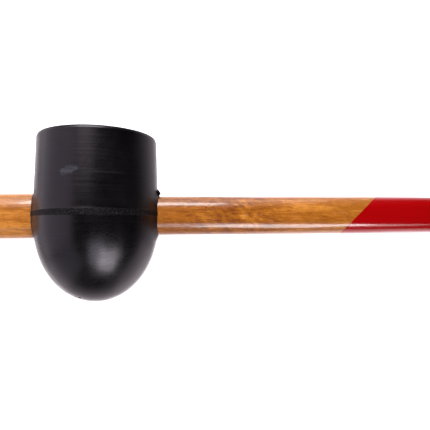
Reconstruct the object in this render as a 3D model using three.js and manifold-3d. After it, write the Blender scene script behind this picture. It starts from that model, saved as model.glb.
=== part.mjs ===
// Paving mallet: a solid rubber head with one flat and one domed striking end, jammed on the
// taper of a one-piece hardwood handle that runs right through it, and a slanted dip of red
// lacquer on the grip end.
//
// Frame: millimetres, +Z up. The mallet stands on its flat striking face, whose centre is the
// origin. +Z runs up the head to the dome and +X along the handle to the grip end.
//
// The taper holds the head, as a pickaxe's does: the head slides up from the grip end until its
// eye binds on the thicker stub. Nothing on the mallet moves in use.

import * as THREE from 'three';
import { mergeVertices } from 'three/addons/utils/BufferGeometryUtils.js';
import Module from 'manifold-3d';

const wasm = await Module();
wasm.setup();

// ---------------------------------------------------------------- driving dimensions

const head = {
  diameter: 90, // over the flash band at the parting line, where the moulding is widest
  faceDiameter: 84.4, // at the flat striking face, before its rim is rounded
  faceToParting: 56, // flat face to parting line
  domeHeight: 64, // parting line to the top of the dome
  rimRadius: 1.2, // rounding of the flat face's rim
  bandHeight: 5, // trimmed flash band along the parting line
  bandStandout: 0.3, // how far the band stands proud of the surface on either side
};

const lip = {
  wall: 2.2, // rubber round the eye, outside the thickest part of the handle
  standout: 1.6, // how far each lip stands out from the head's side
};

// The handle's section is an upright rectangle, so well rounded that it is nearly oval.
const handle = {
  faceToAxis: 58.2, // flat face to the handle's axis
  stubReach: 85, // head axis to the short end
  gripReach: 315, // head axis to the grip end
  gripTaperStart: 210, // where the grip starts to narrow
  stub: { height: 33.2, depth: 26.6 },
  neck: { height: 29.2, depth: 23.6 },
  end: { height: 27, depth: 21.8 },
  roundness: 0.9, // corner radius of the section, as a share of half its depth
  endRadius: 4, // rounding of both ends
};

const lacquer = {
  start: 205, // head axis to the middle of the dip line
  slant: 45, // degrees between the dip line and the handle
  thickness: 0.35,
};

const clearance = 0.3; // between touching pieces

const steps = { round: 72, dome: 14, rim: 4, corner: 4, end: 3 };

// ---------------------------------------------------------------- values that follow

const radius = head.diameter / 2;
const topOfDome = head.faceToParting + head.domeHeight;
const lipReach = radius + lip.standout;

// ---------------------------------------------------------------- solids

const toSolid = (geometry) => {
  const bare = geometry.index ? geometry.toNonIndexed() : geometry.clone();
  bare.deleteAttribute('normal');
  bare.deleteAttribute('uv');
  const merged = mergeVertices(bare, 1e-4);
  return new wasm.Manifold(new wasm.Mesh({
    numProp: 3,
    vertProperties: new Float32Array(merged.attributes.position.array),
    triVerts: new Uint32Array(merged.index.array),
  }));
};

const toGeometry = (solid) => {
  const { vertProperties, triVerts } = solid.getMesh();
  const geometry = new THREE.BufferGeometry();
  geometry.setAttribute('position', new THREE.BufferAttribute(new Float32Array(vertProperties), 3));
  geometry.setIndex(new THREE.BufferAttribute(new Uint32Array(triVerts), 1));
  geometry.computeVertexNormals();
  return geometry;
};

// One rounded outline across the handle: x is depth (world Y) and y is height (world Z).
// An inset moves it inwards by the same amount all round, and a negative one outwards.
const sectionPoints = (height, depth, inset) => {
  const r = handle.roundness * depth / 2 - inset;
  const y = height / 2 - inset - r;
  const x = depth / 2 - inset - r;
  const outline = new THREE.Path();
  outline.moveTo(x + r, -y);
  [[x, y], [-x, y], [-x, -y], [x, -y]].forEach(([cx, cy], i) => {
    outline.absarc(cx, cy, r, (i * Math.PI) / 2, ((i + 1) * Math.PI) / 2);
  });
  return outline.getPoints(steps.corner).slice(0, -1);
};

// A closed skin through equal sections, placed along X on the handle's axis.
const loft = (sections) => {
  const rings = sections.map(({ x, height, depth, inset }) =>
    sectionPoints(height, depth, inset).map((p) => [x, p.x, handle.faceToAxis + p.y]));
  const count = rings[0].length;
  const corners = [];
  for (let r = 0; r + 1 < rings.length; r += 1) {
    for (let i = 0; i < count; i += 1) {
      const j = (i + 1) % count;
      const [a, b] = [rings[r][i], rings[r][j]];
      const [c, d] = [rings[r + 1][i], rings[r + 1][j]];
      corners.push(a, b, d, a, d, c);
    }
  }
  const first = rings[0];
  const last = rings[rings.length - 1];
  for (let i = 1; i + 1 < count; i += 1) {
    corners.push(first[0], first[i + 1], first[i], last[0], last[i], last[i + 1]);
  }
  const geometry = new THREE.BufferGeometry();
  geometry.setAttribute('position', new THREE.Float32BufferAttribute(corners.flat(), 3));
  return toSolid(geometry);
};

// ---------------------------------------------------------------- handle

const handleStations = [
  { x: -handle.stubReach, ...handle.stub },
  { x: -radius, ...handle.stub },
  { x: radius, ...handle.neck },
  { x: handle.gripTaperStart, ...handle.neck },
  { x: handle.gripReach, ...handle.end },
];

const stationAt = (x) => {
  const next = Math.max(1, handleStations.findIndex((s) => s.x >= x));
  const [a, b] = [handleStations[next - 1], handleStations[next]];
  const t = (x - a.x) / (b.x - a.x);
  return {
    x,
    height: THREE.MathUtils.lerp(a.height, b.height, t),
    depth: THREE.MathUtils.lerp(a.depth, b.depth, t),
  };
};

// The handle's outside, moved inwards by `inset`, with both ends rounded.
const handleBody = (inset) => {
  const r = handle.endRadius;
  const rounding = [];
  for (let i = 0; i <= steps.end; i += 1) {
    const angle = (i / steps.end) * (Math.PI / 2);
    rounding.push({ along: r * Math.sin(angle), inward: r * (1 - Math.cos(angle)) });
  }
  const stubEnd = [...rounding].reverse().map(({ along, inward }) => {
    const x = -handle.stubReach + inset + r - along;
    return { ...stationAt(x), inset: inset + inward };
  });
  const gripEnd = rounding.map(({ along, inward }) => {
    const x = handle.gripReach - inset - r + along;
    return { ...stationAt(x), inset: inset + inward };
  });
  const middle = handleStations.slice(1, -1).map((s) => ({ ...s, inset }));
  return loft([...stubEnd, ...middle, ...gripEnd]);
};

// Everything past the slanted dip line, which meets the head's dome side first, moved towards
// the grip by `shift`.
const pastDipLine = (shift) => {
  const size = 2 * handle.gripReach;
  const block = new THREE.BoxGeometry(size, size, size);
  const normalAngle = THREE.MathUtils.degToRad(90 - lacquer.slant);
  const normal = new THREE.Vector3(Math.cos(normalAngle), 0, Math.sin(normalAngle));
  block.rotateY(-normalAngle);
  const centre = new THREE.Vector3(lacquer.start, 0, handle.faceToAxis)
    .addScaledVector(normal, size / 2 + shift);
  block.translate(centre.x, centre.y, centre.z);
  return toSolid(block);
};

const makeHandle = () => {
  const core = handleBody(lacquer.thickness + clearance);
  const strippedZone = pastDipLine(-clearance).subtract(core);
  return handleBody(0).subtract(strippedZone);
};

const makeLacquer = () =>
  handleBody(0).intersect(pastDipLine(0)).subtract(handleBody(lacquer.thickness));

// ---------------------------------------------------------------- rubber head

// Half outline of the moulding, from the middle of the flat face up to the top of the dome.
const headProfile = () => {
  const faceRadius = head.faceDiameter / 2;
  const bandLow = head.faceToParting - head.bandHeight / 2;
  const bandHigh = head.faceToParting + head.bandHeight / 2;
  const bodyRadius = radius - head.bandStandout;
  const domeRise = topOfDome - bandHigh;

  const profile = new THREE.Path();
  profile.moveTo(0, 0);
  profile.lineTo(faceRadius - head.rimRadius, 0);
  profile.absarc(faceRadius - head.rimRadius, head.rimRadius, head.rimRadius, -Math.PI / 2, 0);
  const points = profile.getPoints(steps.rim);
  points.push(
    new THREE.Vector2(bodyRadius, bandLow),
    new THREE.Vector2(radius, bandLow + head.bandStandout),
    new THREE.Vector2(radius, bandHigh - head.bandStandout),
  );
  for (let i = 0; i <= steps.dome; i += 1) {
    const angle = (i / steps.dome) * (Math.PI / 2);
    const across = i === steps.dome ? 0 : bodyRadius * Math.cos(angle);
    points.push(new THREE.Vector2(across, bandHigh + domeRise * Math.sin(angle)));
  }
  return points;
};

const turned = (profile) => {
  const geometry = new THREE.LatheGeometry(profile, steps.round);
  geometry.rotateX(Math.PI / 2);
  return toSolid(geometry);
};

// The collar round each mouth of the eye follows the side of the head.
const makeLips = () => {
  const inset = -(clearance + lip.wall);
  const tube = loft([-2 * radius, 2 * radius].map((x) => ({ x, ...handle.stub, inset })));
  const drum = turned([
    new THREE.Vector2(0, 0),
    new THREE.Vector2(lipReach, 0),
    new THREE.Vector2(lipReach, topOfDome),
    new THREE.Vector2(0, topOfDome),
  ]);
  return tube.intersect(drum);
};

// The eye is the handle's own taper plus the clearance, carried straight on past both lips.
const makeEye = () => loft([
  { x: -2 * radius, ...handle.stub, inset: -clearance },
  { x: -radius, ...handle.stub, inset: -clearance },
  { x: radius, ...handle.neck, inset: -clearance },
  { x: 2 * radius, ...handle.neck, inset: -clearance },
]);

const makeHead = () => turned(headProfile()).add(makeLips()).subtract(makeEye());

// ---------------------------------------------------------------- assembly

const rubber = new THREE.MeshStandardMaterial({ color: 0x1b1b1d, roughness: 0.5, metalness: 0 });
const wood = new THREE.MeshStandardMaterial({ color: 0xb57a3c, roughness: 0.35, metalness: 0 });
const red = new THREE.MeshStandardMaterial({ color: 0xb00510, roughness: 0.2, metalness: 0 });

const addPiece = (parent, name, solid, material) => {
  const mesh = new THREE.Mesh(toGeometry(solid), material);
  mesh.name = name;
  parent.add(mesh);
};

const mallet = new THREE.Group();
addPiece(mallet, 'rubber_head', makeHead(), rubber);
addPiece(mallet, 'wooden_handle', makeHandle(), wood);
addPiece(mallet, 'grip_lacquer', makeLacquer(), red);

export default mallet;
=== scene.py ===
"""Looks of a paving mallet: a moulded rubber head on a varnished handle with a red lacquered grip.

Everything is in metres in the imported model's frame: the mallet stands on its flat striking face
at z = 0, +Z runs up to the dome and +X along the handle to the grip end.
"""

from __future__ import annotations

import logging
import math
from contextlib import contextmanager
from dataclasses import dataclass, field
from enum import Enum
from typing import Callable, Iterator

import bmesh
import bpy
from mathutils import Matrix, Vector, noise


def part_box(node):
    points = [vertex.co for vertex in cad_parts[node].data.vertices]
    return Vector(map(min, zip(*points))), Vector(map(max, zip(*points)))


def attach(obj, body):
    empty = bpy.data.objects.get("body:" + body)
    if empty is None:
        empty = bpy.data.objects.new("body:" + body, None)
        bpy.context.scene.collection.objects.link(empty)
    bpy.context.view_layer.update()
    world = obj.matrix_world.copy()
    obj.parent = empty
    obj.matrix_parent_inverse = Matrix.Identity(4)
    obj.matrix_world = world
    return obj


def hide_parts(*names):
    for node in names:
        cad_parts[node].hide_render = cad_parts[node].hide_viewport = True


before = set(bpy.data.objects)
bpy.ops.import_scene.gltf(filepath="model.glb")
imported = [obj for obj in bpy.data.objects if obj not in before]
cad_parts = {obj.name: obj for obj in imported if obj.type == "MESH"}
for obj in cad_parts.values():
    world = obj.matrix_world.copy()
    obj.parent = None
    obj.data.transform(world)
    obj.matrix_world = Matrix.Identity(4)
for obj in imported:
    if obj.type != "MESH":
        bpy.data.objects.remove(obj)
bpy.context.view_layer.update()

log = logging.getLogger("mallet")

MM = 0.001


class Slot(Enum):
    """The record's material slots."""

    RUBBER = "rubber"
    WOOD = "varnished_wood"
    LACQUER = "red_lacquer"


class Node(Enum):
    """The CAD nodes that the fine pieces stand for."""

    HEAD = "rubber_head"
    HANDLE = "wooden_handle"
    LACQUER = "grip_lacquer"


# ------------------------------------------------------------------ shader maths


class Value:
    """One number socket. Python expressions on values add the Math nodes."""

    def __init__(self, tree: bpy.types.NodeTree, socket: bpy.types.NodeSocket) -> None:
        """Keeps the tree to add to and the socket to read."""
        self.tree = tree
        self.socket = socket

    def _math(self, operation: str, *operands: "Value | float", clamp: bool = False) -> "Value":
        """Adds one Math node.

        Args:
            operation: the node's operation.
            operands: values or plain numbers, in the node's order.
            clamp: whether the result is kept from 0 to 1.

        Returns:
            The node's result.
        """
        node = self.tree.nodes.new("ShaderNodeMath")
        node.operation = operation
        node.use_clamp = clamp
        for place, operand in zip(node.inputs, operands):
            if isinstance(operand, Value):
                self.tree.links.new(operand.socket, place)
            else:
                place.default_value = operand
        return Value(self.tree, node.outputs[0])

    def __add__(self, other: "Value | float") -> "Value":
        """Sum."""
        return self._math("ADD", self, other)

    __radd__ = __add__

    def __sub__(self, other: "Value | float") -> "Value":
        """Difference."""
        return self._math("SUBTRACT", self, other)

    def __rsub__(self, other: float) -> "Value":
        """Difference, with the number first."""
        return self._math("SUBTRACT", other, self)

    def __mul__(self, other: "Value | float") -> "Value":
        """Product."""
        return self._math("MULTIPLY", self, other)

    __rmul__ = __mul__

    def __truediv__(self, other: "Value | float") -> "Value":
        """Quotient."""
        return self._math("DIVIDE", self, other)

    def __pow__(self, other: float) -> "Value":
        """Power."""
        return self._math("POWER", self, other)

    def __abs__(self) -> "Value":
        """Size without sign."""
        return self._math("ABSOLUTE", self)

    def sine(self) -> "Value":
        """Sine of an angle in radians."""
        return self._math("SINE", self)

    def clamped(self) -> "Value":
        """The value kept from 0 to 1."""
        return self._math("ADD", self, 0.0, clamp=True)

    def capped(self, most: float) -> "Value":
        """The value, or the most that it may be."""
        return self._math("MINIMUM", self, most)

    def smoothly(self, low: float, high: float) -> "Value":
        """A smooth rise.

        Args:
            low: where the rise starts, or ends if it is the larger.
            high: where the rise ends.

        Returns:
            0 on the low side, 1 on the high side and a smooth step between.
        """
        node = self.tree.nodes.new("ShaderNodeMapRange")
        node.interpolation_type = "SMOOTHSTEP"
        self.tree.links.new(self.socket, node.inputs["Value"])
        ordered = low < high
        node.inputs["From Min"].default_value = low if ordered else high
        node.inputs["From Max"].default_value = high if ordered else low
        node.inputs["To Min"].default_value = 0.0 if ordered else 1.0
        node.inputs["To Max"].default_value = 1.0 if ordered else 0.0
        return Value(self.tree, node.outputs["Result"])


Colour = tuple[float, float, float]


class Shader:
    """A material's node tree, with the few kinds of node that these finishes are made of."""

    def __init__(self, name: str) -> None:
        """Makes a material with one Principled shader.

        Args:
            name: the material's name.
        """
        self.material = bpy.data.materials.new(name)
        self.material.use_nodes = True
        self.tree = self.material.node_tree
        self.surface = next(n for n in self.tree.nodes if n.type == "BSDF_PRINCIPLED")
        self.place = self.add("ShaderNodeTexCoord").outputs["Object"]

    def add(
        self,
        kind: str,
        settings: dict[str, object] | None = None,
        inputs: dict[str | int, object] | None = None,
    ) -> bpy.types.Node:
        """Adds a node.

        Args:
            kind: the node's type.
            settings: attributes of the node, set first.
            inputs: numbers, colours, sockets or values for its sockets, by name or index.

        Returns:
            The node.
        """
        node = self.tree.nodes.new(kind)
        for key, setting in (settings or {}).items():
            setattr(node, key, setting)
        for key, content in (inputs or {}).items():
            self.feed(node.inputs[key], content)
        return node

    def feed(self, socket: bpy.types.NodeSocket, content: object) -> None:
        """Links a socket or value to a socket, or sets a plain number or colour on it.

        Args:
            socket: the socket to feed.
            content: a value, a socket, a number or a colour.
        """
        if isinstance(content, Value):
            self.tree.links.new(content.socket, socket)
        elif isinstance(content, bpy.types.NodeSocket):
            self.tree.links.new(content, socket)
        elif isinstance(content, tuple) and len(content) == 3 and socket.type == "RGBA":
            socket.default_value = (*content, 1.0)
        else:
            socket.default_value = content

    def number(self, socket: bpy.types.NodeSocket) -> Value:
        """A socket as a value for expressions."""
        return Value(self.tree, socket)

    def axes(self) -> tuple[Value, Value, Value]:
        """The place on the object in millimetres, as three values."""
        split = self.add("ShaderNodeSeparateXYZ", inputs={0: self.place})
        return tuple(self.number(out) / MM for out in split.outputs)

    def stretched(
        self, per_metre: Colour, offset: Colour = (0.0, 0.0, 0.0), slant: float = 0.0
    ) -> bpy.types.NodeSocket:
        """The place on the object, scaled along each axis.

        Args:
            per_metre: pattern units in a metre along X, Y and Z.
            offset: where the pattern starts, in pattern units.
            slant: degrees by which the axes are first turned about Y.

        Returns:
            The mapped vector.
        """
        place = self.place
        if slant:
            turned = self.add("ShaderNodeMapping", inputs={"Vector": place})
            turned.inputs["Rotation"].default_value = (0.0, math.radians(slant), 0.0)
            place = turned.outputs["Vector"]
        node = self.add("ShaderNodeMapping", inputs={"Vector": place})
        node.inputs["Scale"].default_value = per_metre
        node.inputs["Location"].default_value = offset
        return node.outputs["Vector"]

    def noise(
        self,
        per_metre: Colour,
        detail: float = 2.0,
        roughness: float = 0.5,
        distortion: float = 0.0,
        offset: Colour = (0.0, 0.0, 0.0),
        slant: float = 0.0,
    ) -> Value:
        """Smooth random clouds about 0.5.

        Args:
            per_metre: clouds in a metre along X, Y and Z.
            detail: how many finer layers are added.
            roughness: how strong the finer layers are.
            distortion: how far the clouds are pulled about.
            offset: where the pattern starts.
            slant: degrees by which the pattern is turned about Y.

        Returns:
            The noise's value.
        """
        node = self.add(
            "ShaderNodeTexNoise",
            inputs={
                "Vector": self.stretched(per_metre, offset, slant),
                "Scale": 1.0,
                "Detail": detail,
                "Roughness": roughness,
                "Distortion": distortion,
            },
        )
        return self.number(node.outputs["Fac"])

    def mixed(self, share: Value, first: object, second: object) -> bpy.types.NodeSocket:
        """A colour between two.

        Args:
            share: 0 for the first colour, 1 for the second.
            first: a colour or colour socket.
            second: a colour or colour socket.

        Returns:
            The mixed colour's socket.
        """
        node = self.add("ShaderNodeMix", {"data_type": "RGBA", "clamp_factor": True})
        sockets = [s for s in node.inputs if s.type == "RGBA"]
        self.feed(node.inputs[0], share)
        self.feed(sockets[0], first)
        self.feed(sockets[1], second)
        return next(s for s in node.outputs if s.type == "RGBA")

    def bumped(self, height: Value, distance: float) -> bpy.types.NodeSocket:
        """A normal bent by a height.

        Args:
            height: the height in units of distance.
            distance: metres of relief for a height of 1.

        Returns:
            The bent normal's socket.
        """
        node = self.add("ShaderNodeBump", inputs={"Height": height, "Distance": distance})
        return node.outputs["Normal"]

    def overlaid(self, share: Value, **sockets: object) -> None:
        """Blends a second Principled surface over the first.

        Args:
            share: 0 for the first surface, 1 for the second.
            sockets: the second surface's values by socket name, with _ for a space.
        """
        second = self.add(
            "ShaderNodeBsdfPrincipled",
            inputs={name.replace("_", " "): content for name, content in sockets.items()},
        )
        blend = self.add("ShaderNodeMixShader", inputs={
            0: share, 1: self.surface.outputs["BSDF"], 2: second.outputs["BSDF"],
        })
        output = next(n for n in self.tree.nodes if n.type == "OUTPUT_MATERIAL")
        self.feed(output.inputs["Surface"], blend.outputs[0])

    def finish(self, **sockets: object) -> bpy.types.Material:
        """Feeds the Principled shader's sockets and returns the material.

        Args:
            sockets: values by socket name, with _ for a space.

        Returns:
            The material.
        """
        for name, content in sockets.items():
            self.feed(self.surface.inputs[name.replace("_", " ")], content)
        return self.material


# ------------------------------------------------------------------ finishes


@dataclass(frozen=True)
class MouldedRubber:
    """Black rubber as it leaves the mould: satin, faintly turned, dusty and scuffed.

    Places and sizes are in millimetres on the mallet.
    """

    black: Colour = (0.0012, 0.0009, 0.0012)
    dusty: Colour = (0.0060, 0.0052, 0.0064)
    cut: Colour = (0.0150, 0.0140, 0.0150)
    scuffed: Colour = (0.040, 0.042, 0.054)
    sheen: Colour = (1.0, 0.93, 1.0)
    roughness: float = 0.29
    scuff: tuple[float, float] = (-11.0, 30.2)
    scuff_size: tuple[float, float] = (6.6, 2.9)
    scuff_lean: float = 0.22
    band: tuple[float, float] = (54.55, 58.55)
    band_narrowing: float = 0.9
    band_slope: float = 0.019
    head_radius: float = 45.0
    eye_height: float = 58.2

    def scuff_mask(self, shader: Shader, fray: Value) -> Value:
        """The one smear on the side that faces +Y, with a faint tail towards the grip.

        Args:
            shader: the material's tree.
            fray: fine noise that breaks up its outline.

        Returns:
            1 where the rubber is rubbed, 0 elsewhere.
        """
        x, y, z = shader.axes()
        streaks = shader.noise((90.0, 90.0, 900.0), detail=2.0, distortion=0.4)
        from_x = x - self.scuff[0]
        from_z = z - self.scuff[1] + from_x * self.scuff_lean
        across, along = from_x / self.scuff_size[0], from_z / self.scuff_size[1]
        narrowing = 1.0 + across.smoothly(0.0, 1.3) * 0.9
        reach = (across * across + along * along * narrowing) ** 0.5 + (fray - 0.5) * 1.5
        smear = reach.smoothly(1.15, 0.55) * (0.35 + streaks.smoothly(0.36, 0.62) * 0.75)
        tail = abs(z - self.scuff[1] - 1.0 + (streaks - 0.5) * 2.0).smoothly(0.9, 0.2)
        tail = tail * x.smoothly(-6.0, 2.0) * x.smoothly(30.0, 12.0) * 0.22
        return (smear + tail).clamped() * y.smoothly(0.0, 10.0)

    def make(self) -> bpy.types.Material:
        """Builds the material.

        Returns:
            The material.
        """
        shader = Shader("moulded_rubber")
        x, y, z = shader.axes()
        clouds = shader.noise((34.0, 34.0, 34.0), detail=3.0, roughness=0.55)
        blotch = shader.noise((110.0, 110.0, 110.0), detail=3.0, roughness=0.6)
        fray = shader.noise((420.0, 420.0, 420.0), detail=3.0, roughness=0.6)
        grain = shader.noise((1500.0, 1500.0, 1500.0), detail=2.0)
        swept = shader.noise((30.0, 30.0, 700.0), detail=3.0, roughness=0.6)
        turned = shader.noise((14.0, 14.0, 460.0), detail=1.0)
        smear = self.scuff_mask(shader, fray)
        low, high = self.band
        above = z - low - (1.0 - abs(y) / self.head_radius) * self.band_narrowing
        below = y * self.band_slope + high - z
        band = above.smoothly(0.0, 0.4) * below.smoothly(0.0, 0.4)
        worn_rim = z.smoothly(1.25, 0.85) * 0.9
        lips = abs(x).smoothly(33.0, 43.0) * abs(z - self.eye_height).smoothly(21.0, 15.0)
        dust = clouds.smoothly(0.45, 0.75) * 0.4 + swept.smoothly(0.55, 0.8) * 0.3
        colour = shader.mixed(dust.clamped(), self.black, self.dusty)
        colour = shader.mixed(lips * 0.4, colour, self.dusty)
        colour = shader.mixed(smear * 0.7, colour, self.scuffed)
        roughness = (
            self.roughness
            + (clouds - 0.5) * 0.16
            + (blotch - 0.5) * 0.12
            + (swept - 0.5) * 0.14
            + smear * 0.12
            + lips * 0.14
        )
        below_band = z.smoothly(54.0, 48.0)
        relief = (
            grain * 0.25
            + blotch * 0.8
            + fray * 0.35
            + turned * below_band * 1.5
            + swept * 0.35
        )
        chips = shader.noise((900.0, 900.0, 1300.0), detail=1.0)
        shader.overlaid(
            band + worn_rim,
            Base_Color=shader.mixed(chips.smoothly(0.52, 0.72), self.black, self.cut),
            Roughness=0.55,
            Specular_IOR_Level=0.17,
            Specular_Tint=self.sheen,
            Normal=shader.bumped(fray * 1.0 + chips * 1.4, 0.3 * MM),
        )
        return shader.finish(
            Base_Color=colour,
            Roughness=roughness,
            Specular_Tint=self.sheen,
            Normal=shader.bumped(relief, 0.04 * MM),
        )


@dataclass(frozen=True)
class VarnishedHardwood:
    """Light brown hardwood under clear gloss varnish, with its grain along the handle.

    The ring width and the pith's place in Y and Z are in millimetres.
    """

    pale: Colour = (0.62, 0.236, 0.034)
    middle: Colour = (0.352, 0.107, 0.0065)
    dark: Colour = (0.19, 0.045, 0.003)
    fleck: Colour = (0.50, 0.190, 0.060)
    pore: Colour = (0.12, 0.030, 0.006)
    ring_width: float = 2.6
    pith: tuple[float, float] = (-31.0, 71.0)

    def rings(self, shader: Shader) -> Value:
        """Growth rings round a pith that lies outside the handle.

        Args:
            shader: the material's tree.

        Returns:
            A value that swings from 0 to 1 once per ring.
        """
        x, y, z = shader.axes()
        sway = shader.noise((9.0, 34.0, 34.0), detail=2.0) * 9.0
        from_y = y - self.pith[0] + sway
        from_z = z - self.pith[1] + x * 0.012
        radius = (from_y * from_y + from_z * from_z) ** 0.5
        return (radius * (2.0 * math.pi / self.ring_width)).sine() * 0.5 + 0.5

    def make(self) -> bpy.types.Material:
        """Builds the material.

        Returns:
            The material.
        """
        shader = Shader("varnished_hardwood")
        x, _, _ = shader.axes()
        fibre = shader.noise((75.0, 900.0, 900.0), detail=4.0, roughness=0.7, distortion=0.3)
        streak = shader.noise((14.0, 230.0, 230.0), detail=3.0, roughness=0.55)
        mottle = shader.noise((150.0, 260.0, 260.0), detail=4.0, roughness=0.65, distortion=0.9)
        figure = shader.noise(
            (60.0, 130.0, 190.0), detail=3.0, roughness=0.6, distortion=0.9, slant=42.0,
        )
        hatch = shader.noise((70.0, 700.0, 900.0), detail=2.0, distortion=0.3, slant=14.0)
        stain = shader.noise((20.0, 38.0, 38.0), detail=2.0, offset=(3.1, 0.4, 1.7))
        rays = shader.noise((170.0, 900.0, 330.0), detail=2.0, offset=(0.0, 5.0, 0.0))
        pores = shader.noise((240.0, 2000.0, 2000.0), detail=1.0).smoothly(0.62, 0.70)
        ring = self.rings(shader)
        figured = x.smoothly(60.0, 90.0) * x.smoothly(140.0, 112.0)
        # Next to the head the figure is stronger, and the wood is also made darker there: that
        # darkening is painted shade from the head falling on the neck.
        neck_figure_and_shade = x.smoothly(20.0, 70.0) * x.smoothly(160.0, 110.0)
        depth = (
            0.48
            + (ring - 0.5) * 0.16
            + (fibre - 0.5) * 1.15
            + (streak - 0.5) * 0.40
            + (mottle - 0.5) * (0.6 + neck_figure_and_shade * 0.9)
            + (figure - 0.5) * (0.3 + figured * 1.2)
            + (stain - 0.5) * 0.5
            + hatch.smoothly(0.55, 0.72) * 0.22
            # painted shade: darker next to the head
            + neck_figure_and_shade * 0.20
            - x.smoothly(-20.0, -60.0) * 0.24
            - x.smoothly(110.0, 160.0) * 0.07
        ).clamped()
        light_side = shader.mixed(depth.smoothly(0.0, 0.55), self.pale, self.middle)
        colour = shader.mixed(depth.smoothly(0.5, 1.0), light_side, self.dark)
        colour = shader.mixed(rays.smoothly(0.60, 0.70) * 0.35, colour, self.fleck)
        colour = shader.mixed(pores * 0.5, colour, self.pore)
        waves = shader.noise((90.0, 170.0, 170.0), detail=2.0)
        ripple = shader.noise((420.0, 620.0, 620.0), detail=3.0)
        rough_start = x.smoothly(118.0, 78.0)
        relief = (
            waves
            + ripple * (0.8 + rough_start * 0.9)
            + fibre * (0.3 + rough_start * 0.4)
            - hatch.smoothly(0.55, 0.72) * 0.25
            - pores * 0.2
        )
        return shader.finish(
            Base_Color=colour,
            Roughness=0.34 + (fibre - 0.5) * 0.2,
            Specular_IOR_Level=0.5,
            Coat_Weight=1.0,
            Coat_Roughness=0.10,
            Normal=shader.bumped(relief, 0.06 * MM),
        )


@dataclass(frozen=True)
class DippedLacquer:
    """Opaque red gloss lacquer that levels over the wood but keeps its broad unevenness."""

    red: Colour = (0.352, 0.0, 0.0012)
    deep: Colour = (0.305, 0.0, 0.0006)

    def make(self) -> bpy.types.Material:
        """Builds the material.

        Returns:
            The material.
        """
        shader = Shader("dipped_red_lacquer")
        cloud = shader.noise((26.0, 60.0, 60.0), detail=3.0)
        drag = shader.noise((160.0, 420.0, 420.0), detail=2.0)
        speck = shader.noise((900.0, 900.0, 900.0), detail=1.0).smoothly(0.7, 0.78)
        waves = shader.noise((60.0, 150.0, 150.0), detail=2.0)
        colour = shader.mixed((cloud * 0.8 + drag * 0.4 - 0.2).clamped(), self.red, self.deep)
        relief = waves * 1.0 + drag * 0.35 + speck * 0.25
        return shader.finish(
            Base_Color=colour,
            Roughness=0.2 + (drag - 0.5) * 0.12,
            Specular_IOR_Level=0.5,
            Coat_Weight=1.0,
            Coat_Roughness=0.08,
            Normal=shader.bumped(relief, 0.07 * MM),
        )


@dataclass(frozen=True)
class StudioWhite:
    """A pale floor lit so evenly that it reads as seamless white."""

    paint: Colour = (0.92, 0.92, 0.92)
    glow: float = 1.2

    def make(self) -> bpy.types.Material:
        """Builds the material.

        Returns:
            The material.
        """
        shader = Shader("studio_white")
        return shader.finish(
            Base_Color=self.paint,
            Roughness=0.9,
            Emission_Color=(1.0, 1.0, 1.0),
            Emission_Strength=self.glow,
        )


# ------------------------------------------------------------------ modelling


def deselect_all() -> None:
    """Leaves nothing selected, so that operators act only on what is picked next."""
    for other in bpy.context.selected_objects:
        other.select_set(False)


def pick(obj: bpy.types.Object) -> None:
    """Selects one object alone and makes it active.

    Args:
        obj: the object.
    """
    deselect_all()
    obj.select_set(True)
    bpy.context.view_layer.objects.active = obj


@contextmanager
def editing(obj: bpy.types.Object) -> Iterator[bpy.types.Object]:
    """Edit mode on one object.

    Args:
        obj: the object, which is left in object mode.

    Yields:
        The object.
    """
    pick(obj)
    bpy.ops.object.mode_set(mode="EDIT")
    try:
        yield obj
    finally:
        bpy.ops.object.mode_set(mode="OBJECT")


def select_where(obj: bpy.types.Object, kind: str, test: Callable[[Vector], bool]) -> int:
    """Selects a mesh's edges, faces or vertices by place, in edit mode.

    Args:
        obj: the object being edited.
        kind: "verts", "edges" or "faces".
        test: whether an element is taken, by its middle. An edge's test gets both ends' places.

    Returns:
        How many elements were taken.
    """
    bpy.ops.mesh.select_mode(type={"verts": "VERT", "edges": "EDGE", "faces": "FACE"}[kind])
    bpy.ops.mesh.select_all(action="DESELECT")
    mesh = bmesh.from_edit_mesh(obj.data)
    taken = 0
    for element in getattr(mesh, kind):
        if kind == "verts":
            chosen = test(element.co)
        elif kind == "edges":
            chosen = test(element.verts[0].co, element.verts[1].co)
        else:
            chosen = test(element.calc_center_median())
        if chosen:
            element.select_set(True)
            taken += 1
    bmesh.update_edit_mesh(obj.data)
    return taken


def move_vertices(obj: bpy.types.Object, shape: Callable[[Vector], Vector]) -> None:
    """Sculpts a mesh by a formula.

    Args:
        obj: the object, in object mode.
        shape: gives each vertex's new place from its old one.
    """
    for vertex in obj.data.vertices:
        vertex.co = shape(vertex.co.copy())
    obj.data.update()


def apply_modifier(obj: bpy.types.Object, kind: str, **settings: object) -> None:
    """Adds a modifier and applies it.

    Args:
        obj: the object to change.
        kind: the modifier's type.
        settings: the modifier's attributes.
    """
    pick(obj)
    modifier = obj.modifiers.new(kind.title(), kind)
    for key, setting in settings.items():
        setattr(modifier, key, setting)
    bpy.ops.object.modifier_apply(modifier=modifier.name)


def copied(obj: bpy.types.Object, name: str) -> bpy.types.Object:
    """Copies a piece.

    Args:
        obj: the piece.
        name: the copy's name.

    Returns:
        The copy, with its own mesh.
    """
    twin = obj.copy()
    twin.data = obj.data.copy()
    twin.name = name
    twin.data.name = name
    bpy.context.scene.collection.objects.link(twin)
    return twin


def settle(obj: bpy.types.Object, material: bpy.types.Material, angle: float) -> None:
    """Smooths a finished piece, gives it its finish and lets it ride with the mallet.

    Args:
        obj: the piece, with its place in its mesh.
        material: its finish.
        angle: degrees past which an edge stays sharp.
    """
    pick(obj)
    bpy.ops.object.shade_smooth_by_angle(angle=math.radians(angle))
    obj.data.materials.clear()
    obj.data.materials.append(material)
    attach(obj, "root")


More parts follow.
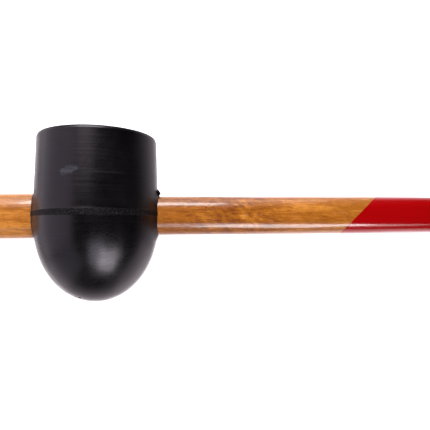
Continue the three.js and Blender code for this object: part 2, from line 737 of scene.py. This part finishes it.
def box_of(node: Node) -> tuple[Vector, Vector]:
    """A CAD node's lowest and highest corners, in metres."""
    low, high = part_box(node.value)
    return Vector(low), Vector(high)


# ------------------------------------------------------------------ handle


@dataclass
class WoodenHandle:
    """The one-piece handle: upright, nearly oval in section and thickest at the stub."""

    neck_height: float = 29.2 * MM
    neck_depth: float = 23.6 * MM
    end_height: float = 27.0 * MM
    end_depth: float = 21.8 * MM
    taper_start: float = 210.0 * MM
    mouth_swell: float = 0.4 * MM
    swell_end: float = 125.0 * MM
    roundness: float = 0.9
    end_radius: float = 4.0 * MM
    step: float = 4.0 * MM
    wander: float = 0.16 * MM

    def __post_init__(self) -> None:
        """Reads the stub's size and the handle's ends from the frame."""
        low, high = box_of(Node.HANDLE)
        _, head_high = box_of(Node.HEAD)
        self.stub_end = low.x
        self.grip_end = box_of(Node.LACQUER)[1].x
        self.axis_height = (low.z + high.z) / 2.0
        self.stub_height = high.z - low.z
        self.stub_depth = high.y - low.y
        self.head_radius = head_high.y

    def section(self, x: float) -> tuple[float, float]:
        """The handle's section at a place along it.

        Args:
            x: the place, from the head's axis.

        Returns:
            Depth and height.
        """
        stations = (
            (self.stub_end, self.stub_depth, self.stub_height),
            (-self.head_radius, self.stub_depth, self.stub_height),
            (self.head_radius, self.neck_depth, self.neck_height + self.mouth_swell),
            (self.swell_end, self.neck_depth, self.neck_height),
            (self.taper_start, self.neck_depth, self.neck_height),
            (self.grip_end, self.end_depth, self.end_height),
        )
        for (x0, d0, h0), (x1, d1, h1) in zip(stations, stations[1:]):
            if x <= x1:
                share = min(max((x - x0) / (x1 - x0), 0.0), 1.0)
                return d0 + (d1 - d0) * share, h0 + (h1 - h0) * share
        return stations[-1][1:]

    def blank(self, name: str, growth: float = 0.0, from_x: float | None = None,
              to_x: float | None = None) -> bpy.types.Object:
        """A straight bar of the stub's section.

        Args:
            name: the object's name.
            growth: how far every side is moved outwards.
            from_x: the bar's start, if not the stub end.
            to_x: the bar's end, if not the grip end.

        Returns:
            The bar, with its place in its mesh.
        """
        start = self.stub_end if from_x is None else from_x
        stop = self.grip_end if to_x is None else to_x
        depth = self.stub_depth + 2.0 * growth
        height = self.stub_height + 2.0 * growth
        deselect_all()
        bpy.ops.mesh.primitive_cube_add(
            size=1.0,
            location=((start + stop) / 2.0, 0.0, self.axis_height),
            scale=(stop - start, depth, height),
        )
        bar = bpy.context.object
        bar.name = bar.data.name = name
        bpy.ops.object.transform_apply(location=True, rotation=True, scale=True)
        with editing(bar):
            select_where(bar, "edges", lambda a, b: abs(a.x - b.x) > (stop - start) * 0.5)
            corner = self.roundness * self.stub_depth / 2.0 + growth
            bpy.ops.mesh.bevel(offset=corner, segments=14, profile=0.5)
        return bar

    def cut_into_lengths(self, bar: bpy.types.Object, start: float, stop: float) -> None:
        """Bisects a bar square across at every step, so that it can be tapered.

        Args:
            bar: the bar.
            start: where the cuts begin along X.
            stop: where they end.
        """
        with editing(bar):
            count = int((stop - start) / self.step)
            for i in range(1, count + 1):
                bpy.ops.mesh.select_all(action="SELECT")
                bpy.ops.mesh.bisect(
                    plane_co=(start + (stop - start) * i / (count + 1), 0.0, 0.0),
                    plane_no=(1.0, 0.0, 0.0),
                )

    def tapered(self, at: Vector, wander: float) -> Vector:
        """Where a point of the straight bar lies on the tapered, hand-sanded handle.

        Args:
            at: the point on the bar.
            wander: how far sanding leaves the surface from true.

        Returns:
            The point on the handle.
        """
        depth, height = self.section(at.x)
        y = at.y * depth / self.stub_depth
        z = (at.z - self.axis_height) * height / self.stub_height
        side = Vector((0.0, y, z))
        if side.length > 0.0:
            sample = Vector((at.x * 28.0, y * 90.0, z * 90.0))
            slow = Vector((at.x * 9.0, y * 60.0, z * 60.0 + 7.0))
            uneven = noise.noise(sample) + 1.2 * noise.noise(slow)
            side += side.normalized() * uneven * wander
        return Vector((at.x, side.y, side.z + self.axis_height))

    def build(self, material: bpy.types.Material) -> bpy.types.Object:
        """Models the handle.

        Args:
            material: the varnished wood.

        Returns:
            The finished piece.
        """
        handle = self.blank("handle_wood")
        with editing(handle):
            for end in (self.stub_end, self.grip_end):
                select_where(
                    handle, "edges",
                    lambda a, b, end=end: abs(a.x - end) < 1e-6 and abs(b.x - end) < 1e-6,
                )
                bpy.ops.mesh.bevel(offset=self.end_radius, segments=6, profile=0.5)
        self.cut_into_lengths(handle, self.stub_end + self.end_radius, self.grip_end - self.end_radius)
        move_vertices(handle, lambda at: self.tapered(at, self.wander))
        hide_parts(Node.HANDLE.value)
        settle(handle, material, 40.0)
        return handle

    def eye_cutter(self, clearance: float, reach: float) -> bpy.types.Object:
        """The handle's taper, a little larger, to cut the head's eye with.

        Args:
            clearance: how far the eye stands off the handle.
            reach: how far the cutter goes on both sides of the head's axis.

        Returns:
            The cutter.
        """
        cutter = self.blank("eye_cutter", growth=clearance, from_x=-reach, to_x=reach)
        self.cut_into_lengths(cutter, -reach, reach)
        move_vertices(cutter, lambda at: self.tapered(at, 0.0))
        return cutter


@dataclass
class GripLacquer:
    """The skin of red lacquer that a slanted dip left on the grip end."""

    start: float = 204.7 * MM
    lean: float = 48.7
    turn: float = 23.3
    film: float = 0.14 * MM
    lift: float = 0.02 * MM

    def build(self, handle: bpy.types.Object, axis_height: float,
              material: bpy.types.Material) -> bpy.types.Object:
        """Models the skin from the handle that it covers.

        Args:
            handle: the finished handle.
            axis_height: the height of the handle's axis.
            material: the red lacquer.

        Returns:
            The finished piece.
        """
        skin = copied(handle, "grip_lacquer_skin")
        lean, turn = math.radians(self.lean), math.radians(self.turn)
        towards_grip = Vector((
            math.cos(lean), math.sin(lean) * math.sin(turn), math.sin(lean) * math.cos(turn),
        ))
        with editing(skin):
            bpy.ops.mesh.select_all(action="SELECT")
            bpy.ops.mesh.bisect(
                plane_co=(self.start, 0.0, axis_height), plane_no=towards_grip, clear_inner=True,
            )
            bpy.ops.mesh.select_all(action="SELECT")
            bpy.ops.transform.shrink_fatten(value=self.lift)
        apply_modifier(skin, "SOLIDIFY", thickness=self.film, offset=1.0, use_even_offset=True)
        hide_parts(Node.LACQUER.value)
        settle(skin, material, 40.0)
        return skin


# ------------------------------------------------------------------ rubber head


@dataclass
class RubberHead:
    """The moulding: flat face, drafted side, trimmed flash band, dome and lips round the eye.

    A flare is how far from the eye a lip begins to rise, and the power of its curve. A nick is its
    place in X and Y and its width, in millimetres.
    """

    parting: float = 56.0 * MM
    face_radius: float = 43.15 * MM
    rim_radius: float = 1.3 * MM
    rim_crease: float = 1.75 * MM
    crease_depth: float = 0.28 * MM
    dome_power: float = 2.27
    crown: float = 1.25 * MM
    band_low: float = -1.4 * MM
    band_high: float = 2.45 * MM
    band_swell: float = 0.85 * MM
    band_pinch: float = 0.9 * MM
    band_standout: float = 0.26 * MM
    band_edge: float = 0.45 * MM
    band_chatter: float = 0.11 * MM
    band_ragged: float = 0.3 * MM
    unevenness: float = 0.05 * MM
    lip_standout: float = 1.2 * MM
    lip_half_height: float = 32.0 * MM
    stub_flare: tuple[float, float] = (3.8 * MM, 2.2)
    grip_flare: tuple[float, float] = (5.5 * MM, 1.7)
    nicks: tuple[tuple[float, float, float], ...] = (
        (-9.6, 15.5, 1.5), (-12.6, 13.5, 0.9), (-21.0, 4.0, 1.0), (6.0, -14.0, 1.2),
    )
    nick_floor: float = 40.0 * MM
    turn_steps: int = 420
    rim_steps: int = 8
    dome_steps: int = 70
    fine_zone: float = 22.0 * MM
    fine_step: float = 0.7 * MM
    coarse_step: float = 2.0 * MM
    eye_clearance: float = 0.06 * MM

    def __post_init__(self) -> None:
        """Reads the head's width and height from the frame."""
        _, high = box_of(Node.HEAD)
        self.radius = high.y
        self.top = high.z + self.crown

    def side_radius(self, height: float) -> float:
        """The plain outline, without band or lips.

        Args:
            height: the height above the face.

        Returns:
            The radius there.
        """
        if height <= self.parting:
            share = max(height, 0.0) / self.parting
            return self.face_radius + (self.radius - self.face_radius) * share
        share = min((height - self.parting) / (self.top - self.parting), 1.0)
        return self.radius * math.sqrt(max(1.0 - share**self.dome_power, 0.0))

    def outline(self) -> list[tuple[float, float]]:
        """The half outline that is turned into the moulding.

        Returns:
            Points as (radius, height), from the face's centre to the dome's top.
        """
        points = [(self.face_radius * share, 0.0) for share in (0.0, 0.25, 0.5, 0.75, 0.93)]
        slope = math.degrees(math.atan2(self.crease_depth, self.rim_crease - self.rim_radius))
        rim_middle = self.face_radius - self.crease_depth - self.rim_radius
        for i in range(self.rim_steps + 1):
            angle = math.radians(-90.0 + (90.0 - slope) * i / self.rim_steps)
            points.append((
                rim_middle + self.rim_radius * math.cos(angle),
                self.rim_radius * (1.0 + math.sin(angle)),
            ))
        points.append((self.side_radius(self.rim_crease), self.rim_crease))
        fine_low = self.parting - self.fine_zone
        fine_high = self.parting + self.fine_zone
        height = self.rim_crease + self.fine_step
        while height < fine_high:
            points.append((self.side_radius(height), height))
            height += self.fine_step if height > fine_low else self.coarse_step
        first = math.acos(min(self.side_radius(height) / self.radius, 1.0))
        for i in range(self.dome_steps + 1):
            angle = first + (math.pi / 2.0 - first) * i / self.dome_steps
            share = math.sin(angle) ** (2.0 / self.dome_power)
            level = self.parting + (self.top - self.parting) * share
            points.append((self.radius * math.cos(angle), level))
        points[-1] = (0.0, self.top)
        return points

    def turn(self) -> bpy.types.Object:
        """Turns the outline about the head's axis.

        Returns:
            The closed moulding.
        """
        points = self.outline()
        deselect_all()
        bpy.ops.mesh.primitive_plane_add(size=1.0 * MM, location=(0.0, 0.0, 0.0))
        moulding = bpy.context.object
        moulding.name = moulding.data.name = "head_rubber"
        with editing(moulding):
            bpy.ops.mesh.select_all(action="SELECT")
            bpy.ops.mesh.merge(type="CENTER")
            bpy.ops.mesh.select_mode(type="VERT")
            bpy.ops.mesh.select_all(action="SELECT")
            for (r0, z0), (r1, z1) in zip(points, points[1:]):
                bpy.ops.mesh.extrude_region_move(
                    TRANSFORM_OT_translate={"value": (r1 - r0, 0.0, z1 - z0)}
                )
            bpy.ops.mesh.select_all(action="SELECT")
            bpy.ops.mesh.spin(
                steps=self.turn_steps, angle=2.0 * math.pi,
                center=(0.0, 0.0, 0.0), axis=(0.0, 0.0, 1.0),
            )
            bpy.ops.mesh.select_all(action="SELECT")
            bpy.ops.mesh.remove_doubles(threshold=0.01 * MM)
            bpy.ops.mesh.select_all(action="SELECT")
            bpy.ops.mesh.normals_make_consistent(inside=False)
        return moulding

    def beyond_eye(self, at: Vector, handle: WoodenHandle) -> float:
        """How far a point lies outside the handle's section, seen along X.

        Args:
            at: the point.
            handle: the handle.

        Returns:
            The distance, negative inside the section.
        """
        depth, height = handle.section(at.x)
        corner = handle.roundness * depth / 2.0
        y = abs(at.y) - (depth / 2.0 - corner)
        z = abs(at.z - handle.axis_height) - (height / 2.0 - corner)
        return math.hypot(max(y, 0.0), max(z, 0.0)) + min(max(y, z), 0.0) - corner

    def sculpted(self, at: Vector, handle: WoodenHandle) -> Vector:
        """Where a point of the turned moulding lies on the real, trimmed and lipped one.

        Args:
            at: the point on the turned moulding.
            handle: the handle whose eye the lips surround.

        Returns:
            The point on the real one.
        """
        radial = Vector((at.x, at.y, 0.0))
        if radial.length < 1e-6:
            return at
        out = radial.normalized()
        turn = math.atan2(at.y, at.x)
        level = at.z - self.parting
        shift = self.unevenness * noise.noise(at * 45.0)
        ragged = self.band_ragged * noise.noise(Vector((turn * 9.0, 3.0, 0.0)))
        low = self.band_low + self.band_pinch * (1.0 - abs(math.sin(turn))) + ragged * 0.4
        high = self.band_high + self.band_swell * math.sin(turn) + ragged
        if low < level < high:
            proud = min(min(level - low, high - level) / self.band_edge, 1.0)
            chatter = noise.noise(Vector((turn * 110.0, at.z * 700.0, 1.0)))
            shift += proud * (self.band_standout + self.band_chatter * (chatter - 0.4))
        if abs(at.x) > 0.6 * self.radius and abs(level) < self.lip_half_height:
            flare, power = self.grip_flare if at.x > 0.0 else self.stub_flare
            rise = min(max(1.0 - self.beyond_eye(at, handle) / flare, 0.0), 1.0)
            shift += self.lip_standout * rise**power
        sunk = 0.0
        if level > self.nick_floor:
            for x, y, size in self.nicks:
                near = math.hypot(at.x - x * MM, at.y - y * MM) / (size * MM)
                sunk = max(sunk, 0.5 * size * MM * (1.0 - near))
        return at + out * shift - Vector((0.0, 0.0, sunk))

    def build(self, handle: WoodenHandle, material: bpy.types.Material) -> bpy.types.Object:
        """Models the head with its eye cut through.

        Args:
            handle: the handle that the eye fits.
            material: the moulded rubber.

        Returns:
            The finished piece.
        """
        head = self.turn()
        move_vertices(head, lambda at: self.sculpted(at, handle))
        cutter = handle.eye_cutter(self.eye_clearance, self.radius * 1.4)
        apply_modifier(head, "BOOLEAN", operation="DIFFERENCE", solver="EXACT", object=cutter)
        bpy.data.objects.remove(cutter, do_unlink=True)
        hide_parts(Node.HEAD.value)
        settle(head, material, 50.0)
        return head


@dataclass
class TornFlash:
    """Rubber squeezed out round the eye's mouth on the grip side, and mostly torn off."""

    gap: float = 0.07 * MM
    thickness: float = 0.32 * MM
    sunk: float = 0.8 * MM
    corners: int = 220
    tab_size: Vector = field(default_factory=lambda: Vector((1.6, 3.6, 2.7)) * MM)
    tab_place: Vector = field(default_factory=lambda: Vector((44.8, 4.0, 41.2)) * MM)

    def skirt(self, head: RubberHead, handle: WoodenHandle) -> bpy.types.Object:
        """A ragged skirt round the mouth.

        Args:
            head: the head whose surface it grows from.
            handle: the handle that it hugs.

        Returns:
            The skirt, closed.
        """
        depth, height = handle.section(head.radius)
        corner = handle.roundness * depth / 2.0
        deselect_all()
        bpy.ops.mesh.primitive_circle_add(vertices=self.corners, radius=1.0)
        ring = bpy.context.object
        ring.name = ring.data.name = "eye_flash"

        def on_mouth(at: Vector) -> Vector:
            """Lays the circle round the eye's mouth.

            Args:
                at: a point of the unit circle.

            Returns:
                Its place on the head's side.
            """
            out = corner + self.gap
            y = at.x * out + math.copysign(depth / 2.0 - corner, at.x)
            z = at.y * out + math.copysign(height / 2.0 - corner, at.y) + handle.axis_height
            surface = head.side_radius(z) + head.lip_standout * 0.85
            return Vector((math.sqrt(surface**2 - y * y) - self.sunk, y, z))

        move_vertices(ring, on_mouth)
        with editing(ring):
            bpy.ops.mesh.select_all(action="SELECT")
            bpy.ops.mesh.extrude_region_move(TRANSFORM_OT_translate={"value": (1.0, 0.0, 0.0)})

        def torn(at: Vector) -> Vector:
            """Tears the outer edge back.

            Args:
                at: a point of the skirt.

            Returns:
                Its place once most of the edge is gone.
            """
            if at.x < 0.5:
                return at
            turn = math.atan2(at.z - handle.axis_height, at.y)
            coarse = noise.noise(Vector((math.cos(turn) * 2.0, math.sin(turn) * 2.0, 4.0)))
            fine = noise.noise(Vector((math.cos(turn) * 16.0, math.sin(turn) * 16.0, 1.0)))
            rise = max(0.28 + 0.5 * coarse + 0.3 * fine, 0.0) * 0.6 * MM
            return Vector((at.x - 1.0 + self.sunk + rise, at.y, at.z))

        move_vertices(ring, torn)
        apply_modifier(ring, "SOLIDIFY", thickness=self.thickness, offset=1.0)
        return ring

    def tab(self) -> bpy.types.Object:
        """One larger torn scrap below the handle on the grip side.

        Returns:
            The scrap, closed.
        """
        deselect_all()
        bpy.ops.mesh.primitive_ico_sphere_add(subdivisions=5, radius=1.0)
        scrap = bpy.context.object
        scrap.name = scrap.data.name = "torn_flash_scrap"

        def torn(at: Vector) -> Vector:
            """Makes the ball a ragged scrap.

            Args:
                at: a point of the unit ball.

            Returns:
                Its place on the scrap.
            """
            uneven = 0.8 + 0.8 * noise.noise(at * 2.2) + 0.35 * noise.noise(at * 6.0)
            return self.tab_place + Vector(
                (at.x * self.tab_size.x, at.y * self.tab_size.y, at.z * self.tab_size.z)
            ) * uneven

        move_vertices(scrap, torn)
        return scrap

    def build(self, head: RubberHead, handle: WoodenHandle,
              material: bpy.types.Material) -> list[bpy.types.Object]:
        """Models the skirt and the scrap.

        Args:
            head: the head that they belong to.
            handle: the handle that they surround.
            material: the moulded rubber.

        Returns:
            The finished pieces.
        """
        pieces = [self.skirt(head, handle), self.tab()]
        for piece in pieces:
            settle(piece, material, 40.0)
        return pieces


# ------------------------------------------------------------------ studio


@dataclass(frozen=True)
class Softbox:
    """One soft rectangular light that faces the mallet from a given direction.

    Angles are in degrees: the azimuth from +Y towards +X, the elevation above the floor. A light
    that isn't mirrored lightens surfaces without a highlight.
    """

    name: str
    azimuth: float
    elevation: float
    wide: float
    tall: float
    radiance: float
    colour: Colour = (1.0, 1.0, 1.0)
    mirrored: bool = True
    distance: float = 1.0
    target: tuple[float, float, float] = (0.0, 0.0, 0.056)

    def build(self) -> None:
        """Adds the light to the scene."""
        data = bpy.data.lights.new(self.name, "AREA")
        data.shape = "RECTANGLE"
        data.size = 2.0 * self.distance * math.tan(math.radians(self.wide / 2.0))
        data.size_y = 2.0 * self.distance * math.tan(math.radians(self.tall / 2.0))
        data.energy = math.pi * self.radiance * data.size * data.size_y
        data.color = self.colour
        lamp = bpy.data.objects.new(self.name, data)
        turn, rise = math.radians(self.azimuth), math.radians(self.elevation)
        towards = Vector((
            math.sin(turn) * math.cos(rise), math.cos(turn) * math.cos(rise), math.sin(rise),
        ))
        lamp.location = Vector(self.target) + towards * self.distance
        lamp.rotation_euler = (-towards).to_track_quat("-Z", "Y").to_euler()
        lamp.visible_camera = False
        lamp.visible_glossy = self.mirrored
        bpy.context.scene.collection.objects.link(lamp)


@dataclass
class Studio:
    """Floor, lights, surroundings and camera."""

    floor_half: float = 4.0
    lights: tuple[Softbox, ...] = (
        Softbox("side_panel", -72.0, -9.0, 76.0, 68.0, 0.82, (0.97, 0.88, 1.03)),
        Softbox("side_high", -74.0, 43.0, 70.0, 30.0, 0.58, (0.96, 0.90, 1.03)),
        Softbox("left_rim", -149.0, -4.0, 44.0, 74.0, 0.62, (1.0, 0.92, 1.0)),
        Softbox("right_rim", 122.0, 40.0, 46.0, 48.0, 0.50, (1.0, 0.90, 0.93)),
        Softbox("dome_box", 32.0, 45.0, 27.0, 25.0, 7.0, (0.97, 0.96, 1.0)),
        Softbox("grip_box", 50.0, 36.0, 16.0, 14.0, 2.1, (1.0, 0.97, 0.97)),
        Softbox("dome_fill", 8.0, 37.0, 24.0, 27.0, 2.5, (0.93, 0.91, 1.0)),
        Softbox("under_box", -9.0, -51.0, 34.0, 26.0, 9.2),
        Softbox("under_fill", -38.0, -47.0, 30.0, 28.0, 1.4, (1.0, 0.93, 0.96)),
        Softbox("under_panel", 0.0, -84.0, 60.0, 30.0, 1.2, (1.0, 0.97, 0.93)),
        Softbox("low_panel", -14.0, -24.0, 25.0, 20.0, 1.35, (1.0, 0.92, 1.0)),
        Softbox("from_below", 8.0, -78.0, 60.0, 60.0, 2.4, mirrored=False),
        Softbox("from_above", 8.0, 78.0, 60.0, 60.0, 1.0, mirrored=False),
    )
    eye: Vector = field(default_factory=lambda: Vector((57.46, 300.88, 71.65)) * MM)
    aim: Vector = field(default_factory=lambda: Vector((88.39, 0.0, 57.72)) * MM)
    across: Vector = field(default_factory=lambda: Vector((0.9947, 0.1022, 0.0080)))
    lens: float = 32.65

    def floor(self) -> None:
        """Lays the pale floor."""
        deselect_all()
        bpy.ops.mesh.primitive_plane_add(size=2.0 * self.floor_half)
        plane = bpy.context.object
        plane.name = plane.data.name = "studio_floor"
        plane.data.materials.append(StudioWhite().make())
        plane.visible_diffuse = plane.visible_glossy = plane.visible_shadow = False

    def surroundings(self) -> None:
        """White all round to the eye, and for reflections brighter behind than in front."""
        world = bpy.data.worlds.new("studio")
        bpy.context.scene.world = world
        world.use_nodes = True
        tree = world.node_tree
        background = next(n for n in tree.nodes if n.type == "BACKGROUND")
        place = tree.nodes.new("ShaderNodeTexCoord")
        split = tree.nodes.new("ShaderNodeSeparateXYZ")
        tree.links.new(place.outputs["Generated"], split.inputs[0])
        front = Value(tree, split.outputs["Y"])
        steep = abs(Value(tree, split.outputs["Z"])).smoothly(0.18, 0.55)
        glow = ((0.1 - front) * 0.94).clamped().capped(0.70) + 0.018
        glow = glow + steep * (0.0 - front).clamped() * 0.60 + front.smoothly(-0.80, -1.0) * 1.1
        seen = tree.nodes.new("ShaderNodeLightPath")
        straight = Value(tree, seen.outputs["Is Camera Ray"])
        strength = glow * (1.0 - straight) + straight * 1.1
        tree.links.new(strength.socket, background.inputs["Strength"])
        tint = tree.nodes.new("ShaderNodeMix")
        tint.data_type = "RGBA"
        colours = [s for s in tint.inputs if s.type == "RGBA"]
        colours[0].default_value = (1.0, 0.90, 0.96, 1.0)
        colours[1].default_value = (1.0, 1.0, 1.0, 1.0)
        tree.links.new(straight.socket, tint.inputs[0])
        output = next(s for s in tint.outputs if s.type == "RGBA")
        tree.links.new(output, background.inputs["Color"])

    def camera(self) -> None:
        """Sets the camera level with the handle, with the dome hanging down in its view."""
        data = bpy.data.cameras.new("camera")
        data.lens = self.lens
        data.sensor_width = 36.0
        data.clip_start = 0.01
        camera = bpy.data.objects.new("camera", data)
        back = (self.eye - self.aim).normalized()
        right = (self.across - back * self.across.dot(back)).normalized()
        up = back.cross(right)
        turn = Matrix((right, up, back)).transposed().to_4x4()
        camera.matrix_world = Matrix.Translation(self.eye) @ turn
        bpy.context.scene.collection.objects.link(camera)
        bpy.context.scene.camera = camera

    def build(self) -> None:
        """Sets up the whole studio."""
        self.floor()
        self.surroundings()
        for light in self.lights:
            light.build()
        self.camera()
        view = bpy.context.scene.view_settings
        view.view_transform = "Standard"
        view.look = "None"


# ------------------------------------------------------------------ assembly


def main() -> None:
    """Builds the studio and every piece."""
    logging.basicConfig(level=logging.INFO, format="%(name)s: %(message)s")
    Studio().build()
    wood = WoodenHandle()
    handle = wood.build(VarnishedHardwood().make())
    skin = GripLacquer().build(handle, wood.axis_height, DippedLacquer().make())
    moulding, rubber = RubberHead(), MouldedRubber().make()
    head = moulding.build(wood, rubber)
    flash = TornFlash().build(moulding, wood, rubber)
    for piece in (handle, skin, head, *flash):
        log.info("%s: %d faces", piece.name, len(piece.data.polygons))


if __name__ == "__main__":
    main()
